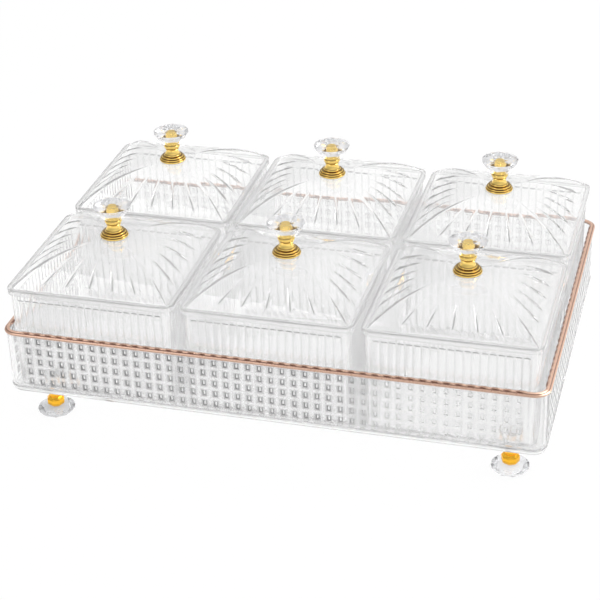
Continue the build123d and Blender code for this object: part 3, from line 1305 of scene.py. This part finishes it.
@dataclass(frozen=True)
class Foot:
    """A flat cut crystal under an eight-sided gold barrel, with a neck and a flange below the tray."""

    gold: bpy.types.Material
    crystal: bpy.types.Material
    sides: int = 10
    base_radius: float = 0.0088
    girdle_radius: float = 0.0143
    top_radius: float = 0.0082
    pavilion: float = 0.0044
    girdle: float = 0.0008
    crown: float = 0.0018
    barrel_radius: float = 0.0070
    barrel_height: float = 0.0088
    barrel_chamfer: float = 0.0024
    barrel_sides: int = 8
    neck_radius: float = 0.0044
    flange_radius: float = 0.0066
    flange_height: float = 0.0010
    neck_sink: float = 0.0005
    neck_sides: int = 36
    barrel_bevel: float = 0.00035
    neck_bevel: float = 0.0004
    # Where the facets meet below and above the girdle.
    lower_height: float = 0.5
    lower_bulge: float = 0.0008
    upper_height: float = 0.6

    def stone(self) -> bmesh.types.BMesh:
        """Cuts the flat crystal that the tray stands on.

        Returns:
            A mesh about the Z axis, with its base facet at height 0.
        """
        sides, widest = self.sides, self.girdle_radius
        girdle_high = self.pavilion + self.girdle
        low_radius = (self.base_radius + widest) / 2 + self.lower_bulge
        return gem(
            (
                (0.0, self.base_radius, sides, 0.0),
                (self.pavilion * self.lower_height, low_radius, sides, 0.5),
                (self.pavilion, widest, 2 * sides, 0.5),
                (girdle_high, widest, 2 * sides, 0.5),
                (girdle_high + self.crown * self.upper_height, (self.top_radius + widest) / 2, sides, 0.5),
                (girdle_high + self.crown, self.top_radius, sides, 0.0),
            )
        )

    @staticmethod
    def soften(mesh: bmesh.types.BMesh, edges: list[bmesh.types.BMEdge], width: float) -> None:
        """Rounds some edges of a mesh.

        Args:
            mesh: The mesh.
            edges: Its edges that are rounded.
            width: The width that is taken off on each side.
        """
        bmesh.ops.bevel(mesh, geom=edges, offset=width, affect="EDGES", segments=2, profile=0.5, material=-1)

    def barrel(self, low: float, high: float) -> bmesh.types.BMesh:
        """Builds the gold collar: a chamfered barrel, a neck and a flange.

        Args:
            low: The height of the crystal's top.
            high: The height of the tray's underside.

        Returns:
            A mesh about the Z axis.
        """
        chamfer, end_radius = self.barrel_chamfer, self.barrel_radius - self.barrel_chamfer
        outline = (
            (low, end_radius),
            (low + chamfer, self.barrel_radius),
            (low + self.barrel_height - chamfer, self.barrel_radius),
            (low + self.barrel_height, end_radius),
        )
        mesh = gem([(height, radius, self.barrel_sides, 0.0) for height, radius in outline])
        self.soften(mesh, mesh.edges[:], self.barrel_bevel)
        neck_low = low + self.barrel_height - self.neck_sink
        flange_low = high - self.flange_height
        for radius, bottom, top in (
            (self.neck_radius, neck_low, flange_low),
            (self.flange_radius, flange_low, high),
        ):
            made = bmesh.ops.create_cone(
                mesh,
                cap_ends=True,
                segments=self.neck_sides,
                radius1=radius,
                radius2=radius,
                depth=top - bottom,
                matrix=Matrix.Translation((0, 0, (bottom + top) / 2)),
            )
            edges = {e for v in made["verts"] for e in v.link_edges}
            ends = [e for e in edges if abs(e.verts[0].co.z - e.verts[1].co.z) < TINY]
            self.soften(mesh, ends, self.neck_bevel)
        return mesh

    def build(self) -> None:
        """Adds the four feet."""
        stone = self.stone()
        barrel = self.barrel(self.pavilion + self.girdle + self.crown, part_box("tray")[0].z)
        for foot in FEET:
            centre = centre_of(f"foot_crystal_{foot}")
            nodes = (f"foot_collar_{foot}",)
            metal = Piece(f"foot_barrel_{foot}", TRAY_BODY, nodes, Slot.FOOT_GOLD, self.gold)
            metal.add(barrel, centre)
            nodes = (f"foot_crystal_{foot}",)
            glass = Piece(f"foot_stone_{foot}", TRAY_BODY, nodes, Slot.CRYSTAL, self.crystal, Shading.FACETS)
            glass.add(stone, centre)


@dataclass(frozen=True)
class Studio:
    """A white sweep, a soft world and two soft lamps, with the camera at the photograph's angle."""

    focal_length_px: float = 1737.0
    picture_px: float = 600.0
    sensor: float = 36.0
    azimuth: float = 16.06
    elevation: float = 29.79
    roll: float = -1.90
    distance: float = 1.38981
    target: tuple[float, float, float] = (-0.01077, 0.0, 0.05648)
    clip: tuple[float, float] = (0.05, 50.0)
    floor_half: float = 4.0
    card_colour: str = "#F4F4F4"
    card_white: float = 0.97
    # The floor's own white behind clear pieces, dimmed by painted shade, and the places in X and Y between
    # which it rises.
    dim_level: float = 0.56
    lit_level: float = 0.98
    left_span: tuple[float, float] = (-0.22, 0.06)
    front_span: tuple[float, float] = (-0.10, -0.13)
    # The world's strength at its left and right, and its grey levels from straight down to straight up.
    left_strength: float = 0.70
    right_strength: float = 1.12
    bands: tuple[tuple[float, float], ...] = (
        (0.0, 1.0),
        (0.54, 1.0),
        (0.58, 0.74),
        (0.66, 0.64),
        (0.74, 0.90),
        (0.84, 1.0),
        (1.0, 1.0),
    )

    def build(self) -> None:
        """Adds the floor, the world, the lamps and the camera."""
        self.add_floor()
        self.set_world()
        self.add_lamp("key_lamp", place=(-0.9, -0.7, 1.6), size=(1.0, 1.0), power=4.0)
        self.add_lamp("fill_lamp", place=(1.2, 0.5, 1.5), size=(0.8, 1.2), power=20.0)
        self.add_camera()

    def add_floor(self) -> None:
        """Adds a white card floor that keeps the object's shadow.

        The camera sees it nearly white. Through the clear walls it carries painted shade towards the left,
        where the photograph's plastic is greyer, and is white again in front of the tray.
        """
        mesh = bmesh.new()
        bmesh.ops.create_grid(mesh, x_segments=1, y_segments=1, size=self.floor_half)
        data = bpy.data.meshes.new("floor")
        mesh.to_mesh(data)
        mesh.free()
        floor = add_object("floor", data)
        made = bpy.data.materials.new("white_card")
        tree = empty_tree(made)
        card = add_node(tree, "ShaderNodeBsdfDiffuse", {"Color": linear(self.card_colour)})
        white = add_node(tree, "ShaderNodeEmission", {"Color": (1, 1, 1, 1), "Strength": 1.0})
        rays = add_node(tree, "ShaderNodeLightPath").outputs
        bent_rays = {0: rays["Is Transmission Ray"], 1: rays["Is Glossy Ray"]}
        bent = add_node(tree, "ShaderNodeMath", bent_rays, operation="MAXIMUM")
        place = add_node(tree, "ShaderNodeTexCoord").outputs["Object"]
        axes = add_node(tree, "ShaderNodeSeparateXYZ", {0: place}).outputs
        levels = {}
        fades = (("X", self.left_span, self.dim_level), ("Y", self.front_span, 0.0))
        for number, (axis, (start, end), lowest) in enumerate(fades):
            limits = {"From Min": start, "From Max": end, "To Min": lowest, "To Max": self.lit_level}
            fade = add_node(tree, "ShaderNodeMapRange", {"Value": axes[axis], **limits})
            levels[number] = fade.outputs["Result"]
        lit = add_node(tree, "ShaderNodeMath", levels, operation="MAXIMUM")
        low = add_node(tree, "ShaderNodeMath", {0: bent.outputs[0], 1: lit.outputs[0]}, operation="MULTIPLY")
        seen = {0: rays["Is Camera Ray"], 1: self.card_white}
        high = add_node(tree, "ShaderNodeMath", seen, operation="MULTIPLY")
        share = add_node(tree, "ShaderNodeMath", {0: low.outputs[0], 1: high.outputs[0]}, operation="MAXIMUM")
        both = {0: share.outputs[0], 1: card.outputs[0], 2: white.outputs[0]}
        mixed = add_node(tree, "ShaderNodeMixShader", both)
        add_node(tree, "ShaderNodeOutputMaterial", {"Surface": mixed.outputs[0]})
        data.materials.append(made)

    def set_world(self) -> None:
        """Sets a world that is white to the eye, and a banded soft studio to everything else."""
        world = bpy.data.worlds.new("studio")
        bpy.context.scene.world = world
        tree = empty_tree(world)
        direction = add_node(tree, "ShaderNodeTexCoord").outputs["Generated"]
        parts = add_node(tree, "ShaderNodeSeparateXYZ", {0: direction}).outputs
        upwards = {"Value": parts["Z"], "From Min": -1.0, "From Max": 1.0}
        height = add_node(tree, "ShaderNodeMapRange", upwards)
        ramp = add_node(tree, "ShaderNodeValToRGB", {"Fac": height.outputs["Result"]})
        stops = ramp.color_ramp.elements
        for i, (place, level) in enumerate(self.bands):
            stop = stops[i] if i < 2 else stops.new(place)
            stop.position = place
            stop.color = (level, level, level, 1)
        strengths = {"From Min": -1.0, "To Min": self.left_strength, "To Max": self.right_strength}
        side = add_node(tree, "ShaderNodeMapRange", {"Value": parts["X"], **strengths})
        soft = {"Color": ramp.outputs["Color"], "Strength": side.outputs["Result"]}
        studio = add_node(tree, "ShaderNodeBackground", soft)
        white = add_node(tree, "ShaderNodeBackground", {"Color": (1, 1, 1, 1), "Strength": 1.0})
        seen = add_node(tree, "ShaderNodeLightPath").outputs["Is Camera Ray"]
        mixed = add_node(tree, "ShaderNodeMixShader", {0: seen, 1: studio.outputs[0], 2: white.outputs[0]})
        add_node(tree, "ShaderNodeOutputWorld", {"Surface": mixed.outputs[0]})

    def add_lamp(
        self, name: str, place: tuple[float, float, float], size: tuple[float, float], power: float
    ) -> None:
        """Adds one soft lamp that faces the tray.

        Args:
            name: The lamp's name.
            place: Where it hangs.
            size: Its width and length.
            power: Its power in watts.
        """
        data = bpy.data.lights.new(name, "AREA")
        data.shape = "RECTANGLE"
        data.size, data.size_y = size
        data.energy = power
        lamp = add_object(name, data)
        lamp.location = place
        lamp.rotation_mode = "QUATERNION"
        lamp.rotation_quaternion = (Vector(self.target) - Vector(place)).to_track_quat("-Z", "Y")

    def add_camera(self) -> None:
        """Adds the camera that the photograph's perspective gives."""
        azimuth, elevation, roll = (math.radians(a) for a in (self.azimuth, self.elevation, self.roll))
        flat = math.cos(elevation)
        back = Vector((math.sin(azimuth) * flat, -math.cos(azimuth) * flat, math.sin(elevation)))
        level = Vector((math.cos(azimuth), math.sin(azimuth), 0))
        upright = back.cross(level)
        right = level * math.cos(roll) + upright * math.sin(roll)
        up = upright * math.cos(roll) - level * math.sin(roll)
        data = bpy.data.cameras.new("camera")
        data.sensor_width = self.sensor
        data.lens = self.focal_length_px / self.picture_px * self.sensor
        data.clip_start, data.clip_end = self.clip
        camera = add_object("camera", data)
        turn = Matrix((right, up, back)).transposed().to_4x4()
        camera.matrix_world = Matrix.Translation(Vector(self.target) + back * self.distance) @ turn
        bpy.context.scene.camera = camera


def dress_cad_nodes() -> None:
    """Dresses the CAD nodes that no piece replaces, which are the screws."""
    # Zinc plate on a steel screw is a dull light grey with a broad highlight.
    steel = PlatedMetal("zinc_plated_steel", "#F0F1F2", "#9A9CA0", 0.40).material()
    for name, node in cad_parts.items():
        if not node.hide_render:
            node.data.materials.clear()
            node.data.materials.append(steel)
            LOG.info("%s: CAD node, zinc-plated steel", name)


def set_render_depth() -> None:
    """Lets light through the many clear walls that lie behind each other."""
    cycles = bpy.context.scene.cycles
    cycles.max_bounces = 32
    cycles.transmission_bounces = 32
    cycles.glossy_bounces = 12
    cycles.transparent_max_bounces = 48
    cycles.caustics_reflective = False
    cycles.caustics_refractive = False


def main() -> None:
    """Builds the tray, its boxes, lids, knobs and feet, and the studio round them."""
    logging.basicConfig(level=logging.INFO, format="%(message)s")
    # Moulded polystyrene is the clearest of the three plastics, and dark grey painted shade marks its studs'
    # edges.
    clear_tray = ClearPlastic("moulded_clear_polystyrene", edge_tint="#555555", clarity=0.94).material()
    # Moulded PET in the boxes is a little cloudy, with soft grey lines of painted shade where the flutes
    # meet.
    clear_box = ClearPlastic("moulded_clear_pet", edge_tint="#666666", clarity=0.88).material()
    # The same PET in the lids is clearer, with dark grey lines of painted shade at the skirt and at the
    # petals' ends.
    clear_lid = ClearPlastic("moulded_clear_pet_lid", edge_tint="#505050", clarity=0.92).material()
    # Polished gold plate on zinc mirrors the room in yellow, with dark brown painted shade between its rings.
    gold = PlatedMetal("gold_plated_zinc", "#FFDC80", "#5A3406", 0.10).material()
    # The feet's gold plate is a deeper amber, with slightly softer reflections.
    amber = PlatedMetal("amber_gold_plated_zinc", "#FFC03C", "#B06A08", 0.16).material()
    # Hot-stamped foil is a pale pink gold with a satin gloss, and painted shade in the rim's groove.
    foil = PlatedMetal("hot_stamped_rose_gold_foil", "#F2CCB6", "#6A4438", 0.30).material()
    # Cut and polished crystal is colourless, and each facet shows another part of the room.
    crystal = CutCrystal().material()
    # Pressed crystal, in the feet, is a little milky.
    pressed = CutCrystal("pressed_crystal_glass", "#FAFAFB", 0.88).material()
    StuddedTray(clear_tray, foil).build()
    FlutedBox(clear_box).build()
    PetalLid(clear_lid).build()
    Knob(gold, crystal).build()
    Foot(amber, pressed).build()
    dress_cad_nodes()
    Studio().build()
    set_render_depth()
    bpy.context.scene.view_settings.view_transform = "Standard"


if __name__ == "__main__":
    main()
